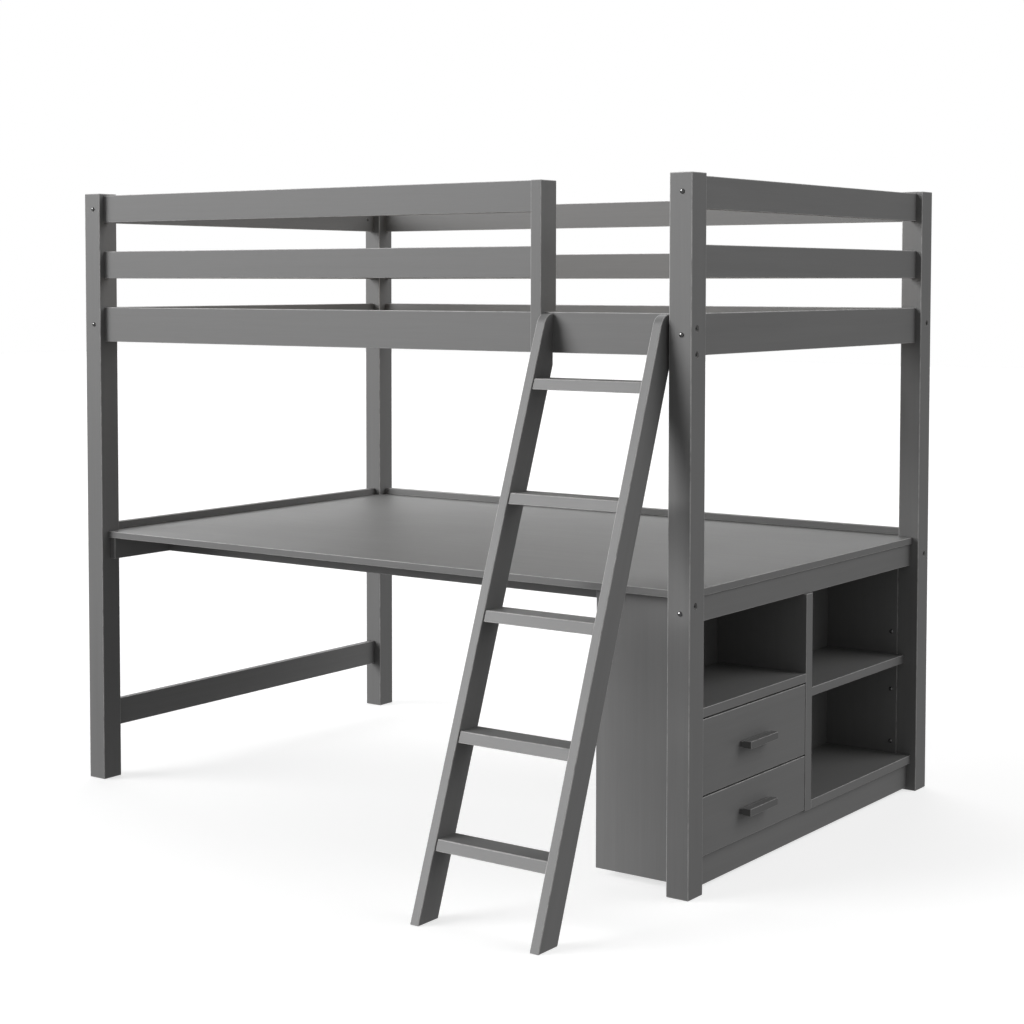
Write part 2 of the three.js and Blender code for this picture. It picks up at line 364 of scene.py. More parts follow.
@dataclass(frozen=True)
class BarePine:
    """Planed pine with growth lines and a matt surface."""

    slot: str = "pine"
    pale: tuple[float, float, float, float] = (0.58, 0.51, 0.42, 1.0)
    ring: tuple[float, float, float, float] = (0.46, 0.37, 0.27, 1.0)
    rough: float = 0.62
    sway_pitch: tuple[float, float] = (1.1, 9.0)
    line_pitch: tuple[float, float] = (0.9, 95.0)
    pore_pitch: tuple[float, float] = (14.0, 600.0)
    sway_share: float = 0.35
    pore_share: float = 0.35
    arris_share: float = 0.25
    rough_swing: float = 0.18
    grain_depth: float = 0.2 * MM
    height_shares: tuple[float, float] = (0.6, 0.4)  # growth lines and pores

    def material(self, grain: Grain) -> bpy.types.Material:
        """Makes the wood for boards whose grain runs one way.

        Args:
            grain: The way the fibres run.

        Returns:
            The material.
        """
        shader = Shader(f"{self.slot}_{grain.value}")
        sway = shader.noise(grain_frame(shader, grain, *self.sway_pitch), detail=2.0)
        growth = grain_frame(shader, grain, *self.line_pitch)
        lines = shader.noise(growth, detail=4.0, roughness=0.55, twist=0.8)
        pores = shader.noise(grain_frame(shader, grain, *self.pore_pitch), detail=2.0)
        rings = (lines + sway * self.sway_share).clamped(0.52, 0.86)
        wood = shader.blend(rings, self.pale, self.ring)
        fine = shader.blend((pores * self.pore_share).clamped(0.10, 0.30), wood, self.ring)
        colour = shader.blend(0.35 * rings + 0.15, wood, fine)
        colour = shader.blend(shader.attribute(ARRIS) * self.arris_share, colour, self.pale)
        rough = self.rough + (lines - MID) * self.rough_swing
        by_lines, by_pores = self.height_shares
        normal = shader.bump(lines * by_lines + pores * by_pores, self.grain_depth)
        return shader.finish(Base_Color=colour, Roughness=rough, Normal=normal)


@dataclass(frozen=True)
class Steel:
    """Bolt heads, screws and drawer runners."""

    slot: str = "bolt_steel"
    level: float = 0.26
    rough: float = 0.16
    shade: float = 0.15
    edge_gain: float = 1.7
    edge_share: float = 0.4
    smear_pitch: float = 160.0
    scratch_pitch: tuple[float, float, float] = (90.0, 2400.0, 900.0)
    tone_shares: tuple[float, float] = (0.7, 0.3)  # smears and scratches
    rough_swing: float = 0.2
    scratch_depth: float = 0.01 * MM

    def material(self, _grain: Grain) -> bpy.types.Material:
        """Makes the metal, which has no grain.

        Args:
            _grain: Not used. Every finish is asked for in the same way.

        Returns:
            The material.
        """
        shader = Shader(self.slot)
        smear = shader.noise(shader.coordinates(even(self.smear_pitch)), detail=3.0)
        scratch = shader.noise(shader.coordinates(self.scratch_pitch), detail=2.0)
        by_smear, by_scratch = self.tone_shares
        tone = (smear * by_smear + scratch * by_scratch).clamped(0.3, 0.7)
        dark, light = grey(self.level * (1 - self.shade)), grey(self.level * (1 + self.shade))
        colour = shader.blend(tone, dark, light)
        edge = shader.attribute(ARRIS) * self.edge_share
        colour = shader.blend(edge, colour, grey(self.level * self.edge_gain))
        rough = self.rough + (smear - MID) * self.rough_swing
        normal = shader.bump(scratch, self.scratch_depth)
        return shader.finish(Base_Color=colour, Roughness=rough, Metallic=1.0, Normal=normal)


Finish = GreyPaint | BarePine | Steel


class PaintShop:
    """Hands out one material for each finish and grain."""

    def __init__(self) -> None:
        """Starts with nothing mixed."""
        self.mixed: dict[tuple[Finish, Grain], bpy.types.Material] = {}

    def material(self, finish: Finish, grain: Grain) -> bpy.types.Material:
        """Hands out a material, which is made the first time that it is asked for.

        Args:
            finish: The finish.
            grain: The way the fibres run.

        Returns:
            The material.
        """
        key = (finish, grain)
        if key not in self.mixed:
            self.mixed[key] = finish.material(grain)
        return self.mixed[key]


PAINT = GreyPaint()
# The handles' own paint is darker. Their arrises are lightened by wear and a painted highlight, as on the
# other paint.
HANDLE_PAINT = GreyPaint(name="handle_paint", level=0.125, wear_and_highlight_level=0.34)
PINE = BarePine()
STEEL = Steel()
SHOP = PaintShop()


# ----------------------------------------------------------
# Making pieces
# ----------------------------------------------------------


@dataclass(frozen=True)
class Cut:
    """How a board's edges are eased."""

    radius: float = 1.6 * MM
    steps: int = 2


SHARP_TURN = math.radians(24.0)
FLAT = math.radians(0.5)
MERGE = 0.01 * MM
LATHE_CREASE = math.radians(40.0)
SAME_WAY = 0.999  # the least cosine between two directions that count as one


def facing(axis: Axis, at: Sequence[float]) -> Matrix:
    """The placing that turns +Z to face an axis and moves it to a point."""
    turn = Vector(axis.value).to_track_quat("Z", "Y").to_matrix().to_4x4()
    return Matrix.Translation(Vector(at)) @ turn


@dataclass(frozen=True)
class Bore:
    """A round pocket in a board's face, which a bolt is sunk in."""

    at: tuple[float, float, float]
    axis: Axis
    radius: float = 9.0 * MM
    depth: float = 5.0 * MM
    steps: int = 28


def sink_bores(mesh: bmesh.types.BMesh, bores: Sequence[Bore]) -> None:
    """Opens the pockets in the largest face that looks their way.

    Args:
        mesh: The solid.
        bores: Pockets that all look one way.
    """
    mark = mesh.faces.layers.float[ARRIS]
    outward = Vector(bores[0].axis.value)
    face = max((f for f in mesh.faces if f.normal.dot(outward) > SAME_WAY), key=lambda f: f.calc_area())
    rim = list(face.edges)
    bmesh.ops.delete(mesh, geom=[face], context="FACES_ONLY")
    rings = []
    for bore in bores:
        place = facing(bore.axis, bore.at)
        made = bmesh.ops.create_circle(
            mesh, cap_ends=False, radius=bore.radius, segments=bore.steps, matrix=place
        )
        rings.append(list(dict.fromkeys(edge for corner in made["verts"] for edge in corner.link_edges)))
    outline = rim + [edge for ring in rings for edge in ring]
    bmesh.ops.triangle_fill(mesh, use_beauty=True, use_dissolve=False, edges=outline, normal=outward)
    for bore, ring in zip(bores, rings):
        pushed = bmesh.ops.extrude_edge_only(mesh, edges=ring)["geom"]
        floor = {part for part in pushed if isinstance(part, bmesh.types.BMVert)}
        # The pocket's walls carry the arris mark, so the grey paint lightens them: a painted highlight on
        # the walls.
        for part in pushed:
            if isinstance(part, bmesh.types.BMFace):
                part[mark] = 1.0
        bmesh.ops.translate(mesh, vec=-outward * bore.depth, verts=list(floor))
        edges = [part for part in pushed if isinstance(part, bmesh.types.BMEdge)]
        bmesh.ops.contextual_create(mesh, geom=[edge for edge in edges if set(edge.verts) <= floor])
    bmesh.ops.recalc_face_normals(mesh, faces=mesh.faces[:])


def ease_edges(mesh: bmesh.types.BMesh, cut: Cut, bores: Sequence[Bore] = ()) -> None:
    """Rounds every sharp edge, marks the new faces with the arris attribute, and sinks the bores.

    Args:
        mesh: The solid, with its corners merged.
        cut: The rounding.
        bores: Pockets to sink, which all look one way.
    """
    mark = mesh.faces.layers.float.new(ARRIS)
    sharp = [e for e in mesh.edges if e.calc_face_angle(0.0) > SHARP_TURN]
    made = bmesh.ops.bevel(
        mesh, geom=sharp, offset=cut.radius, offset_type="OFFSET", segments=cut.steps, profile=0.5,
        affect="EDGES", material=-1, clamp_overlap=True,
    )
    eased = set(made["faces"])
    for face in mesh.faces:
        face[mark] = 1.0 if face in eased else 0.0
    if bores:
        sink_bores(mesh, bores)
    for face in mesh.faces:
        face.smooth = True
    for edge in mesh.edges:
        on_arris = [face in eased for face in edge.link_faces]
        bends_a_little = edge.calc_face_angle(0.0) < SHARP_TURN
        edge.smooth = all(on_arris) or (not any(on_arris) and bends_a_little)


def put_in_order(mesh: bmesh.types.BMesh) -> None:
    """Lists the edges and the faces by their corners, because an extrusion's own order varies by run.

    Args:
        mesh: The finished shape.
    """
    mesh.verts.index_update()
    for parts in (mesh.edges, mesh.faces):
        by_corners = sorted(parts, key=lambda part: sorted(corner.index for corner in part.verts))
        places = {part: place for place, part in enumerate(by_corners)}
        parts.sort(key=places.get)


def link_piece(
    name: str, mesh: bmesh.types.BMesh, finish: Finish, grain: Grain, body: str
) -> bpy.types.Object:
    """Turns a bmesh into a piece of the object.

    Args:
        name: The piece's name.
        mesh: Its shape, in the object's own frame.
        finish: What it is finished with.
        grain: The way its fibres run.
        body: The body that it rides on.

    Returns:
        The piece.
    """
    if ARRIS not in mesh.faces.layers.float:
        mesh.faces.layers.float.new(ARRIS)
    put_in_order(mesh)
    data = bpy.data.meshes.new(name)
    mesh.to_mesh(data)
    mesh.free()
    data.materials.append(SHOP.material(finish, grain))
    piece = bpy.data.objects.new(name, data)
    bpy.context.scene.collection.objects.link(piece)
    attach(piece, body)
    LOG.info("%s: %d faces on %s", name, len(data.polygons), body)
    return piece


@dataclass(frozen=True)
class Board:
    """One board of the frame, finished with eased edges.

    Attributes:
        node: The frame node that it stands for.
        grain: The way its fibres run.
        finish: What it is finished with.
        cut: How its edges are eased.
        bores: Pockets for sunk bolts, which all look one way.
    """

    node: str
    grain: Grain
    finish: Finish = PAINT
    cut: Cut = Cut()
    bores: tuple[Bore, ...] = ()

    def build(self, body: str = ROOT_BODY) -> bpy.types.Object:
        """Copies the node's solid, merges it, eases its edges and finishes it.

        Args:
            body: The body that it rides on.

        Returns:
            The piece.
        """
        solid = bmesh.new()
        solid.from_mesh(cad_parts[self.node].data)
        for layer in list(solid.loops.layers.uv.values()):
            solid.loops.layers.uv.remove(layer)
        bmesh.ops.remove_doubles(solid, verts=solid.verts[:], dist=MERGE)
        bmesh.ops.dissolve_limit(
            solid, angle_limit=FLAT, verts=solid.verts[:], edges=solid.edges[:],
            use_dissolve_boundaries=False,
        )
        ease_edges(solid, self.cut, self.bores)
        piece = link_piece(f"{self.node}_board", solid, self.finish, self.grain, body)
        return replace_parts(piece, self.node)


def block(solid: bmesh.types.BMesh, low: Sequence[float], high: Sequence[float]) -> None:
    """Adds a box to a mesh.

    Args:
        solid: The mesh to add to.
        low: The box's lowest corner.
        high: The box's highest corner.
    """
    size = Vector(high) - Vector(low)
    middle = (Vector(high) + Vector(low)) / 2
    place = Matrix.Translation(middle) @ Matrix.Diagonal((*size, 1.0))
    bmesh.ops.create_cube(solid, size=1.0, matrix=place)


def drawn(corners: Iterable[Sequence[float]], length: float) -> bmesh.types.BMesh:
    """Draws an outline out along X into a bar.

    Args:
        corners: The outline's corners, in one plane across X.
        length: How far it is drawn.

    Returns:
        The bar.
    """
    bar = bmesh.new()
    near = [bar.verts.new(corner) for corner in corners]
    rim = [bar.edges.new(pair) for pair in zip(near, near[1:] + near[:1])]
    copied = bmesh.ops.duplicate(bar, geom=near + rim)["geom"]
    moved = [part for part in copied if isinstance(part, bmesh.types.BMVert)]
    bmesh.ops.translate(bar, vec=(length, 0, 0), verts=moved)
    bmesh.ops.bridge_loops(bar, edges=bar.edges[:])
    bmesh.ops.holes_fill(bar, edges=bar.edges[:])
    bmesh.ops.recalc_face_normals(bar, faces=bar.faces[:])
    return bar


def pour(part: bmesh.types.BMesh, solid: bmesh.types.BMesh) -> None:
    """Moves a part's shape into a mesh.

    Args:
        part: The part, which is freed.
        solid: The mesh to add to.
    """
    spare = bpy.data.meshes.new("spare")
    part.to_mesh(spare)
    part.free()
    solid.from_mesh(spare)
    bpy.data.meshes.remove(spare)


def turned(
    solid: bmesh.types.BMesh, outline: Iterable[tuple[float, float]], place: Matrix, steps: int
) -> None:
    """Adds a turned shape to a mesh, as from a lathe.

    Args:
        solid: The mesh to add to.
        outline: Points of radius and height, from the axis at the top to the axis at the bottom.
        place: Where it goes.
        steps: The number of facets round it.
    """
    part = bmesh.new()
    corners = [part.verts.new((radius, 0.0, height)) for radius, height in outline]
    chain = [part.edges.new(pair) for pair in zip(corners, corners[1:])]
    bmesh.ops.spin(
        part, geom=corners + chain, cent=(0, 0, 0), axis=(0, 0, 1), dvec=(0, 0, 0), angle=2 * math.pi,
        space=Matrix.Identity(4), steps=steps, use_merge=True, use_normal_flip=False, use_duplicate=False,
    )
    bmesh.ops.remove_doubles(part, verts=part.verts[:], dist=MERGE)
    bmesh.ops.recalc_face_normals(part, faces=part.faces[:])
    bmesh.ops.transform(part, matrix=place, verts=part.verts[:])
    for face in part.faces:
        face.smooth = True
    for edge in part.edges:
        edge.smooth = edge.calc_face_angle(0.0) < LATHE_CREASE
    pour(part, solid)


@dataclass(frozen=True)
class BoltHead:
    """A domed bolt head with a driver socket."""

    radius: float = 6.4 * MM
    rise: float = 4.4 * MM
    socket: float = 1.6 * MM
    sink: float = 0.8 * MM
    base: float = 0.5 * MM
    rings: int = 7
    steps: int = 28

    def add(self, solid: bmesh.types.BMesh, at: Sequence[float], axis: Axis) -> None:
        """Adds one head that sits on a face.

        Args:
            solid: The mesh to add to.
            at: The point on the face.
            axis: The way that the head faces.
        """
        outline = [(0.0, self.rise - self.sink), (self.socket, self.rise - self.sink)]
        start = math.asin(self.socket / self.radius)
        for ring in range(self.rings + 1):
            angle = start + (math.pi / 2 - start) * ring / self.rings
            lift = self.base + (self.rise - self.base) * math.cos(angle)
            outline.append((self.radius * math.sin(angle), lift))
        outline += [(self.radius, 0.0), (0.0, 0.0)]
        turned(solid, outline, facing(axis, at), self.steps)


@dataclass(frozen=True)
class FlatHead:
    """A flat screw head or a barrel nut that stands a hair proud of the wood."""

    radius: float = 4.0 * MM
    proud: float = 0.4 * MM
    socket: float = 1.6 * MM
    sink: float = 1.0 * MM
    bury: float = 1.2 * MM
    top_share: float = 0.9
    rim_share: float = 0.4
    foot_share: float = 0.8
    steps: int = 20

    def add(self, solid: bmesh.types.BMesh, at: Sequence[float], axis: Axis) -> None:
        """Adds one head that sits in a face.

        Args:
            solid: The mesh to add to.
            at: The point on the face.
            axis: The way that the head faces.
        """
        floor = self.proud - self.sink
        outline = [
            (0.0, floor), (self.socket, floor), (self.socket, self.proud),
            (self.radius * self.top_share, self.proud), (self.radius, self.proud * self.rim_share),
            (self.radius * self.foot_share, -self.bury), (0.0, -self.bury),
        ]
        turned(solid, outline, facing(axis, at), self.steps)


BOLT = BoltHead()
NUT = FlatHead(radius=5.0 * MM, proud=0.3 * MM, socket=2.0 * MM)
SUNK = FlatHead(radius=6.2 * MM, proud=1.6 * MM, socket=2.4 * MM, sink=1.5 * MM, bury=0.5 * MM)
SCREW = FlatHead()


def boards(nodes: Iterable[str], grain: Grain, finish: Finish = PAINT, cut: Cut = Cut()) -> None:
    """Builds several boards that are alike."""
    for node in nodes:
        Board(node, grain, finish, cut).build()


def middle(node: str) -> Vector:
    """The middle of a frame node's box."""
    low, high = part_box(node)
    return (low + high) / 2


# ----------------------------------------------------------
# Bed frame
# ----------------------------------------------------------

ENDS = ("left", "right")
SIDES = ("front", "back")
LEVELS = ("top", "middle", "bed")


@dataclass
class BedFrame:
    """Four corner posts, the guard post, twelve rails, the low stretcher, and the bolts that join them."""

    post_cut: Cut = field(default_factory=lambda: Cut(2.2 * MM, 3))
    rail_cut: Cut = field(default_factory=lambda: Cut(1.8 * MM, 3))
    bolt_aside: float = 4 * MM  # from a post's middle, to the right
    guard_lifts: tuple[float, ...] = (30 * MM, -10 * MM)
    nut_drop: float = 30 * MM
    nut_reach: float = 34 * MM
    sunk_lifts: dict[str, tuple[float, ...]] = field(  # from the bed rail's middle
        default_factory=lambda: {"front": (15 * MM, -50 * MM), "back": (6 * MM,)}
    )
    apron_lifts: dict[str, float] = field(default_factory=lambda: {"front": 18 * MM, "back": 0.0})

    def build(self) -> None:
        """Builds the boards and the hardware."""
        boards(["guard_post"], Grain.ALONG_Z, cut=self.rail_cut)
        long_rails = [f"rail_{side}_{level}" for side in SIDES for level in LEVELS]
        boards(long_rails, Grain.ALONG_X, cut=self.rail_cut)
        ends = [f"rail_{end}_{level}" for end in ENDS for level in LEVELS]
        boards([*ends, "stretcher_left"], Grain.ALONG_Y, cut=self.rail_cut)
        for side in SIDES:
            for end in ENDS:
                self.post(side, end)
        self.barrel_nuts()
        self.guard_post_bolts()

    def post(self, side: str, end: str) -> None:
        """Builds one corner post, with domed bolts on its long side and sunk bolts on its end side.

        Args:
            side: "front" or "back".
            end: "left" or "right".
        """
        low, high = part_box(f"post_{side}_{end}")
        out_x = low.x if end == "left" else high.x
        axis = Axis.LEFT if end == "left" else Axis.RIGHT
        rail = middle(f"rail_{side}_bed")
        heights = [rail.z + lift for lift in self.sunk_lifts[side]]
        if end == "right":
            heights.append(middle("desk_apron_right").z + self.apron_lifts[side])
        bores = tuple(Bore((out_x, rail.y, height), axis) for height in heights)
        Board(f"post_{side}_{end}", Grain.ALONG_Z, PAINT, self.post_cut, bores).build()
        heads = bmesh.new()
        for bore in bores:
            inset = Vector(axis.value) * bore.depth
            SUNK.add(heads, Vector(bore.at) - inset, axis)
        out_y = low.y if side == "front" else high.y
        joined = [f"rail_{end}_top", f"rail_{end}_bed"]
        if end == "right":
            joined.append("desk_apron_right")
        for board in joined:
            spot = ((low.x + high.x) / 2 + self.bolt_aside, out_y, middle(board).z)
            BOLT.add(heads, spot, Axis.FRONT if side == "front" else Axis.BACK)
        link_piece(f"bolts_post_{side}_{end}", heads, STEEL, Grain.ALONG_X, ROOT_BODY)

    def barrel_nuts(self) -> None:
        """Puts the barrel nuts in the rails' inner faces, where the bed bolts end."""
        nuts = bmesh.new()
        for side in SIDES:
            low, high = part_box(f"rail_{side}_bed")
            inner_y = high.y if side == "front" else low.y
            axis = Axis.BACK if side == "front" else Axis.FRONT
            for x in (low.x + self.nut_reach, high.x - self.nut_reach):
                NUT.add(nuts, (x, inner_y, high.z - self.nut_drop), axis)
        for end in ENDS:
            for level in ("top", "bed"):
                low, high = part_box(f"rail_{end}_{level}")
                inner_x = high.x if end == "left" else low.x
                axis = Axis.RIGHT if end == "left" else Axis.LEFT
                for y in (low.y + self.nut_reach, high.y - self.nut_reach):
                    NUT.add(nuts, (inner_x, y, (low.z + high.z) / 2), axis)
        link_piece("barrel_nuts", nuts, STEEL, Grain.ALONG_X, ROOT_BODY)

    def guard_post_bolts(self) -> None:
        """Puts the two bolt heads that hold the guard post on the inside of the front bed rail."""
        heads = bmesh.new()
        post = middle("guard_post")
        low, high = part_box("rail_front_bed")
        for lift in self.guard_lifts:
            BOLT.add(heads, (post.x, high.y, (low.z + high.z) / 2 + lift), Axis.BACK)
        link_piece("bolts_guard_post", heads, STEEL, Grain.ALONG_X, ROOT_BODY)


@dataclass
class MattressBase:
    """Two ledgers, ten slats and the screws that hold them."""

    slats: int = 10
    slat_cut: Cut = field(default_factory=lambda: Cut(2.0 * MM, 3))
    screw_inset: float = 11 * MM
    screw_spread: float = 28 * MM

    def build(self) -> None:
        """Builds the ledgers, the slats and the screws."""
        boards([f"ledger_{side}" for side in SIDES], Grain.ALONG_X)
        names = [f"slat_{number}" for number in range(1, self.slats + 1)]
        boards(names, Grain.ALONG_Y, PINE, self.slat_cut)
        screws = bmesh.new()
        for name in names:
            low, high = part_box(name)
            for y in (low.y + self.screw_inset, high.y - self.screw_inset):
                for shift in (-self.screw_spread, self.screw_spread):
                    SCREW.add(screws, ((low.x + high.x) / 2 + shift, y, high.z), Axis.UP)
        link_piece("slat_screws", screws, STEEL, Grain.ALONG_X, ROOT_BODY)


# ----------------------------------------------------------
# Ladder
# ----------------------------------------------------------


@dataclass
class Ladder:
    """Two leaning stiles and five treads."""

    treads: int = 5
    stile_cut: Cut = field(default_factory=lambda: Cut(2.6 * MM, 3))
    tread_cut: Cut = field(default_factory=lambda: Cut(2.2 * MM, 3))
    bolt_lifts: tuple[float, ...] = (26 * MM, -6.5 * MM)

    def build(self) -> None:
        """Builds the stiles, the treads and the bolts behind the bed rail."""
        boards([f"ladder_stile_{end}" for end in ENDS], Grain.UP_STILE, cut=self.stile_cut)
        names = [f"ladder_tread_{number}" for number in range(1, self.treads + 1)]
        boards(names, Grain.ALONG_X, cut=self.tread_cut)
        heads = bmesh.new()
        low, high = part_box("rail_front_bed")
        for end in ENDS:
            x = middle(f"ladder_stile_{end}").x
            for lift in self.bolt_lifts:
                BOLT.add(heads, (x, high.y, (low.z + high.z) / 2 + lift), Axis.BACK)
        link_piece("bolts_ladder", heads, STEEL, Grain.ALONG_X, ROOT_BODY)


# ----------------------------------------------------------
# Desk
# ----------------------------------------------------------


@dataclass
class Desk:
    """The slab, its two lips, and the aprons and rails under it."""

    slab_cut: Cut = field(default_factory=lambda: Cut(1.6 * MM, 3))
    bracket: float = 28 * MM
    bracket_width: float = 20 * MM
    bracket_gauge: float = 2 * MM
    bracket_edge: float = 0.4 * MM
    bracket_count: int = 3
    screw_share: float = 0.62

    def build(self) -> None:
        """Builds the boards and the brackets under the slab."""
        boards(["desk_top"], Grain.ALONG_X, cut=self.slab_cut)
        boards(["desk_lip_back", "desk_rail_front", "desk_rail_back"], Grain.ALONG_X, cut=self.slab_cut)
        boards(["desk_lip_left", "desk_apron_left", "desk_apron_right"], Grain.ALONG_Y, cut=self.slab_cut)
        self.brackets()

    def brackets(self) -> None:
        """Builds the steel corner brackets between the long rails and the slab."""
        plates = bmesh.new()
        heads = bmesh.new()
        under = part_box("desk_top")[0].z
        for node, inward in (("desk_rail_front", 1), ("desk_rail_back", -1)):
            low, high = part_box(node)
            face = high.y if inward > 0 else low.y
            for number in range(self.bracket_count):
                x = low.x + (high.x - low.x) * (number + 0.5) / self.bracket_count
                self.plate(plates, heads, x, face, under, inward)
        for mesh, name in ((plates, "desk_brackets"), (heads, "desk_bracket_screws")):
            link_piece(name, mesh, STEEL, Grain.ALONG_X, ROOT_BODY)

    def plate(
        self, plates: bmesh.types.BMesh, heads: bmesh.types.BMesh, x: float, face: float, under: float,
        inward: int,
    ) -> None:
        """Adds one L-shaped bracket and its two screws.

        Args:
            plates: The mesh of brackets.
            heads: The mesh of screw heads.
            x: The bracket's middle along the rail.
            face: The rail's face that it is screwed to.
            under: The underside of the slab.
            inward: 1 where the bracket reaches to the back, -1 to the front.
        """
        half, leg, gauge = self.bracket_width / 2, self.bracket, self.bracket_gauge
        outline = [(0.0, 0.0), (leg, 0.0), (leg, -gauge), (gauge, -gauge), (gauge, -leg), (0.0, -leg)]
        corners = [(x - half, face + inward * y, under + z) for y, z in outline]
        part = drawn(corners, self.bracket_width)
        bmesh.ops.bevel(
            part, geom=part.edges[:], offset=self.bracket_edge, offset_type="OFFSET", segments=1,
            profile=0.5, affect="EDGES", material=-1, clamp_overlap=True,
        )
        pour(part, plates)
        reach = leg * self.screw_share
        SCREW.add(heads, (x, face + inward * reach, under - gauge), Axis.DOWN)
        out = Axis.BACK if inward > 0 else Axis.FRONT
        SCREW.add(heads, (x, face + inward * gauge, under - reach), out)


# ----------------------------------------------------------
# Cabinet and drawers
# ----------------------------------------------------------


@dataclass
class Cabinet:
    """The case under the desk's right end, with its shelves, shelf pins and screws."""

    case_cut: Cut = field(default_factory=lambda: Cut(1.2 * MM, 2))
    pin_radius: float = 3.5 * MM
    pin_reach: float = 9 * MM
    pin_inset: float = 30 * MM
    collar_share: float = 1.5
    tip_share: float = 0.8
    tip_start: float = 0.85
    collar_edge: float = 1.0 * MM
    collar_gauge: float = 1.2 * MM
    pin_steps: int = 16
    screw_heights: tuple[float, ...] = (145 * MM, 307 * MM, 485 * MM)
    screw_shares: tuple[float, ...] = (0.35, 0.75)
    screw_inset: float = 19 * MM

    def build(self) -> None:
        """Builds the boards and the hardware."""
        upright = ["cabinet_side_front", "cabinet_side_back", "cabinet_back", "cabinet_divider"]
        boards(upright, Grain.ALONG_Z, cut=self.case_cut)
        level = ["cabinet_plinth", "cabinet_floor", "shelf_over_drawers", "shelf_open"]
        boards(level, Grain.ALONG_Y, cut=self.case_cut)
        self.shelf_pins()
        self.side_screws()

    def shelf_pins(self) -> None:
        """Builds the four pins that the open shelf lies on."""
        pins = bmesh.new()
        low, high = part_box("shelf_open")
        collar = self.pin_radius * self.collar_share
        outline = [
            (0.0, self.pin_reach), (self.pin_radius * self.tip_share, self.pin_reach),
            (self.pin_radius, self.pin_reach * self.tip_start), (self.pin_radius, self.collar_gauge),
            (collar, self.collar_edge), (collar, 0.0), (0.0, 0.0),
        ]
        wall_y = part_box("cabinet_side_back")[0].y
        divider_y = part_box("cabinet_divider")[1].y
        for x in (low.x + self.pin_inset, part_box("cabinet_side_back")[1].x - self.pin_inset):
            for y, axis in ((divider_y, Axis.BACK), (wall_y, Axis.FRONT)):
                turned(pins, outline, facing(axis, (x, y, low.z - collar)), self.pin_steps)
        link_piece("shelf_pins", pins, STEEL, Grain.ALONG_X, ROOT_BODY)

    def side_screws(self) -> None:
        """Builds the bolt heads that fix the side panels to the right posts."""
        heads = bmesh.new()
        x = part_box("cabinet_side_back")[1].x - self.screw_inset
        for height in self.screw_heights:
            BOLT.add(heads, (x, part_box("cabinet_side_back")[0].y, height), Axis.FRONT)
        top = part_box("shelf_over_drawers")[1].z
        for share in self.screw_shares:
            z = top + (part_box("desk_apron_right")[0].z - top) * share
            BOLT.add(heads, (x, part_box("cabinet_side_front")[1].y, z), Axis.BACK)
        link_piece("cabinet_side_screws", heads, STEEL, Grain.ALONG_X, ROOT_BODY)


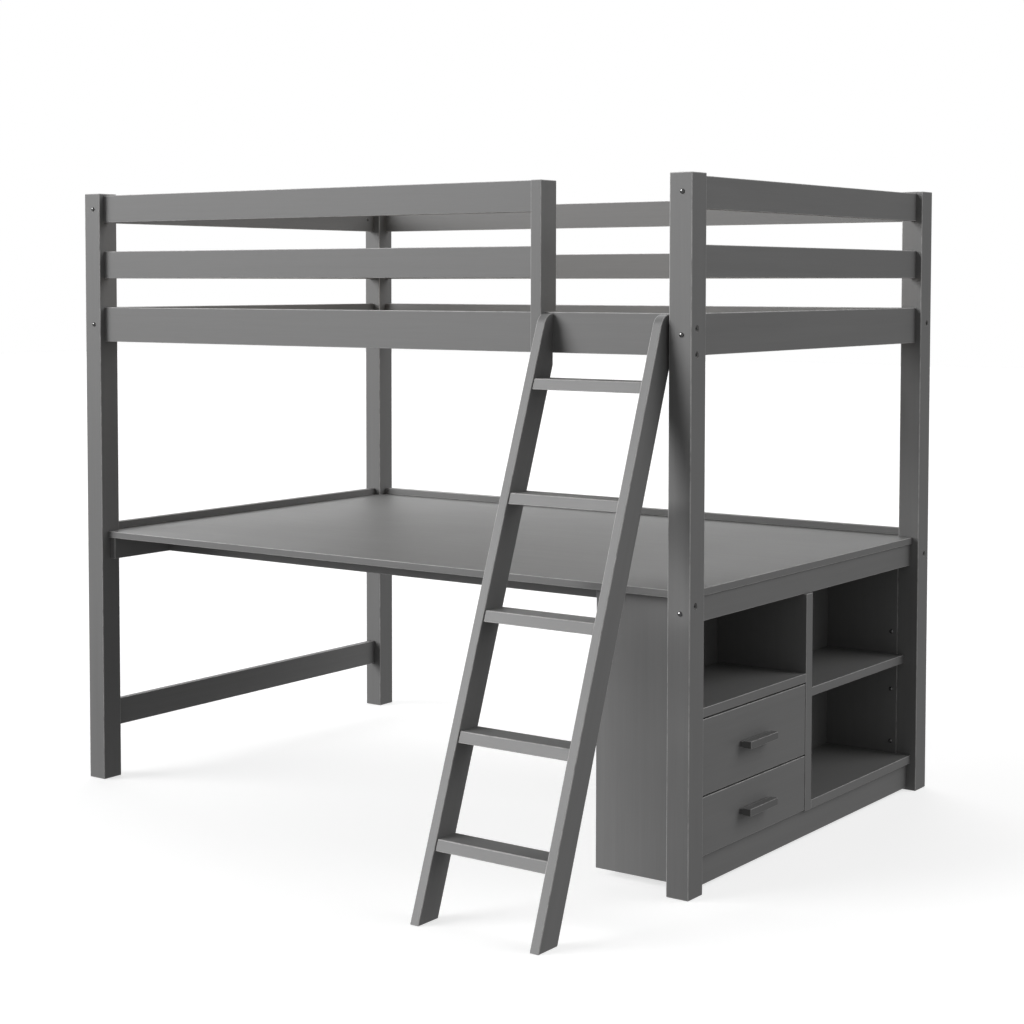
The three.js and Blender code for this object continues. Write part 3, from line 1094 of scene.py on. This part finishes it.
@dataclass
class Drawer:
    """A drawer: its front, four box boards, bottom, handle, screws and runners."""

    body: str
    front_cut: Cut = field(default_factory=lambda: Cut(1.4 * MM, 3))
    handle_cut: Cut = field(default_factory=lambda: Cut(2.4 * MM, 3))
    bottom_cut: Cut = field(default_factory=lambda: Cut(0.6 * MM, 1))
    box_cut: Cut = field(default_factory=lambda: Cut(1.0 * MM, 2))
    runner_cut: Cut = field(default_factory=lambda: Cut(0.3 * MM, 1))
    wall: float = 12 * MM
    joint_gap: float = 0.1 * MM
    runner_height: float = 34 * MM
    runner_gauge: float = 1.4 * MM
    runner_slack: float = 0.6 * MM
    case_reach: float = 0.62  # a share of the space beside the box
    box_reach: float = 0.72
    screw_spread: float = 48 * MM

    def build(self) -> None:
        """Builds everything that slides, and the outer runner halves that stay on the case."""
        Board(f"{self.body}_front", Grain.ALONG_Y, PAINT, self.front_cut).build(self.body)
        Board(f"{self.body}_bottom", Grain.ALONG_Y, PINE, self.bottom_cut).build(self.body)
        Board(f"{self.body}_handle", Grain.ALONG_Y, HANDLE_PAINT, self.handle_cut).build(self.body)
        self.box_boards()
        self.handle_screws()
        self.runners()

    def box_boards(self) -> None:
        """Builds the four boards of the box, in place of the frame's one-piece box."""
        node = f"{self.body}_box"
        low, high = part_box(node)
        wall_y = (low.y + self.wall, high.y - self.wall)
        between = (wall_y[0] + self.joint_gap, wall_y[1] - self.joint_gap)
        back_x, fore_x = low.x + self.wall, high.x - self.wall
        parts = {
            "left": (low, (high.x, wall_y[0], high.z), Grain.ALONG_X),
            "right": ((low.x, wall_y[1], low.z), high, Grain.ALONG_X),
            "back": ((low.x, between[0], low.z), (back_x, between[1], high.z), Grain.ALONG_Y),
            "fore": ((fore_x, between[0], low.z), (high.x, between[1], high.z), Grain.ALONG_Y),
        }
        for name, (start, end, grain) in parts.items():
            solid = bmesh.new()
            block(solid, start, end)
            ease_edges(solid, self.box_cut)
            piece = link_piece(f"{node}_{name}", solid, PINE, grain, self.body)
            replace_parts(piece, node)

    def handle_screws(self) -> None:
        """Builds the two screw heads inside the box that hold the handle."""
        heads = bmesh.new()
        centre = middle(f"{self.body}_handle")
        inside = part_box(f"{self.body}_box")[1].x - self.wall
        for shift in (-self.screw_spread, self.screw_spread):
            SCREW.add(heads, (inside, centre.y + shift, centre.z), Axis.LEFT)
        link_piece(f"{self.body}_handle_screws", heads, STEEL, Grain.ALONG_X, self.body)

    def runners(self) -> None:
        """Builds the steel runners: a wide channel on each side of the case and a narrow one on the box."""
        low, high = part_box(f"{self.body}_box")
        z = (low.z + high.z) / 2
        case_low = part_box("cabinet_side_front")[1].y
        case_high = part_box("cabinet_divider")[0].y
        for name, wall_y, box_y in (("left", case_low, low.y), ("right", case_high, high.y)):
            inward = 1.0 if box_y > wall_y else -1.0
            depth = abs(box_y - wall_y)
            reach = depth * self.case_reach
            outer = self.channel((low.x, high.x), wall_y, inward, reach, z, self.runner_height)
            link_piece(f"{self.body}_runner_case_{name}", outer, STEEL, Grain.ALONG_X, ROOT_BODY)
            narrow = self.runner_height - 2 * (self.runner_gauge + self.runner_slack)
            inner = self.channel((low.x, high.x), box_y, -inward, depth * self.box_reach, z, narrow)
            link_piece(f"{self.body}_runner_box_{name}", inner, STEEL, Grain.ALONG_X, self.body)

    def channel(
        self, span: tuple[float, float], back_y: float, inward: float, depth: float, z: float, height: float
    ) -> bmesh.types.BMesh:
        """Makes a C-shaped channel that runs along X.

        Args:
            span: Where it starts and ends.
            back_y: The face that its web is screwed to.
            inward: 1 where it opens to the back, -1 to the front.
            depth: How far its flanges reach.
            z: The height of its middle.
            height: Its height.

        Returns:
            The channel.
        """
        gauge, half = self.runner_gauge, height / 2
        outline = [
            (0.0, -half), (depth, -half), (depth, -half + gauge), (gauge, -half + gauge),
            (gauge, half - gauge), (depth, half - gauge), (depth, half), (0.0, half),
        ]
        corners = [(span[0], back_y + inward * y, z + lift) for y, lift in outline]
        solid = drawn(corners, span[1] - span[0])
        ease_edges(solid, self.runner_cut)
        return solid


# ----------------------------------------------------------
# Studio
# ----------------------------------------------------------


@dataclass(frozen=True)
class Softbox:
    """A large soft light far away.

    Attributes:
        name: Its name.
        turn: Its bearing in degrees: 0 is straight in front, and 90 is to the right.
        rise: Its height in degrees.
        spread: How wide it looks, in degrees.
        power: Its strength.
    """

    name: str
    turn: float
    rise: float
    spread: float
    power: float

    def hang(self) -> None:
        """Hangs the light."""
        lamp = bpy.data.lights.new(self.name, "SUN")
        lamp.energy = self.power
        lamp.angle = math.radians(self.spread)
        turn, rise = math.radians(self.turn), math.radians(self.rise)
        level = math.cos(rise)
        towards = Vector((math.sin(turn) * level, -math.cos(turn) * level, math.sin(rise)))
        light = bpy.data.objects.new(self.name, lamp)
        light.rotation_euler = towards.to_track_quat("Z", "Y").to_euler()
        bpy.context.scene.collection.objects.link(light)


@dataclass
class Studio:
    """The glowing white floor and backdrop, the soft lights and the camera."""

    floor_size: float = 60.0
    floor_drop: float = 0.5 * MM
    floor_level: float = 0.48
    floor_glow: float = 0.68
    backdrop_radius: float = 45.0
    backdrop_glow: float = 1.0
    room_level: float = 0.243
    softboxes: tuple[Softbox, ...] = (
        Softbox("key", -45.0, 22.0, 40.0, 2.76),
        Softbox("back_left", 225.0, 38.0, 50.0, 0.90),
        Softbox("back_right", 125.0, 35.0, 50.0, 1.19),
    )
    camera_turn: float = 36.567
    camera_tilt: float = 3.0
    camera_height: float = 1.5574
    camera_reach: float = 6.0018
    camera_aside: float = 0.0304
    camera_sight: float = 135.0
    lens_mm: float = 70.97
    sensor_mm: float = 36.0
    shift: tuple[float, float] = (0.0491, -0.1213)

    def build(self) -> None:
        """Builds the floor, the backdrop, the lights and the camera."""
        bpy.context.scene.view_settings.view_transform = "Standard"
        self.floor()
        self.backdrop()
        self.room()
        for softbox in self.softboxes:
            softbox.hang()
        self.camera()

    def set_piece(self, name: str, sheet: bmesh.types.BMesh, level: float, glow: float) -> bpy.types.Object:
        """Makes a glowing white part of the studio, which casts no light on the bed.

        Args:
            name: Its name.
            sheet: Its shape.
            level: How much of the light that falls on it comes back.
            glow: How brightly it glows.

        Returns:
            The object.
        """
        data = bpy.data.meshes.new(name)
        sheet.to_mesh(data)
        sheet.free()
        made = bpy.data.objects.new(name, data)
        bpy.context.scene.collection.objects.link(made)
        white = Shader(f"{name}_white")
        white.finish(Base_Color=grey(level), Roughness=0.9, Specular_IOR_Level=0.0)
        data.materials.append(white.finish(Emission_Color=grey(1.0), Emission_Strength=glow))
        made.visible_diffuse = False
        return made

    def floor(self) -> None:
        """Lays a plain pale floor, a hair under the posts, which nothing mirrors."""
        sheet = bmesh.new()
        bmesh.ops.create_grid(sheet, x_segments=1, y_segments=1, size=self.floor_size / 2)
        bmesh.ops.translate(sheet, vec=(0, 0, -self.floor_drop), verts=sheet.verts[:])
        made = self.set_piece("floor", sheet, self.floor_level, self.floor_glow)
        made.visible_glossy = False

    def backdrop(self) -> None:
        """Hangs a white backdrop all round, which neither lights nor shades the bed."""
        dome = bmesh.new()
        bmesh.ops.create_icosphere(dome, subdivisions=3, radius=self.backdrop_radius)
        bmesh.ops.reverse_faces(dome, faces=dome.faces[:])
        made = self.set_piece("backdrop", dome, 0.0, self.backdrop_glow)
        made.visible_glossy = False
        made.visible_shadow = False

    def room(self) -> None:
        """Fills the room with a little even light."""
        world = bpy.data.worlds.new("studio")
        world.use_nodes = True
        background = world.node_tree.nodes["Background"]
        background.inputs["Color"].default_value = grey(1.0)
        background.inputs["Strength"].default_value = self.room_level
        bpy.context.scene.world = world

    def camera(self) -> None:
        """Sets a nearly level camera, so that the posts stay upright, and shifts it to frame the bed."""
        data = bpy.data.cameras.new("camera")
        data.lens = self.lens_mm
        data.sensor_width = self.sensor_mm
        data.shift_x, data.shift_y = self.shift
        data.clip_end = self.camera_sight
        turn = math.radians(self.camera_turn)
        back = Vector((math.sin(turn), -math.cos(turn), 0.0))
        aside = Vector((math.cos(turn), math.sin(turn), 0.0))
        camera = bpy.data.objects.new("camera", data)
        place = back * self.camera_reach + aside * self.camera_aside
        camera.location = place + Vector((0.0, 0.0, self.camera_height))
        camera.rotation_euler = (math.pi / 2 - math.radians(self.camera_tilt), 0.0, turn)
        bpy.context.scene.collection.objects.link(camera)
        bpy.context.scene.camera = camera


def main() -> None:
    """Builds the loft bed and its studio."""
    logging.basicConfig(level=logging.INFO, format="%(message)s")
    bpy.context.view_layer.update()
    makers: list[Callable[[], None]] = [
        BedFrame().build,
        MattressBase().build,
        Ladder().build,
        Desk().build,
        Cabinet().build,
        Drawer("lower_drawer").build,
        Drawer("upper_drawer").build,
        Studio().build,
    ]
    for make in makers:
        make()


if __name__ == "__main__":
    main()
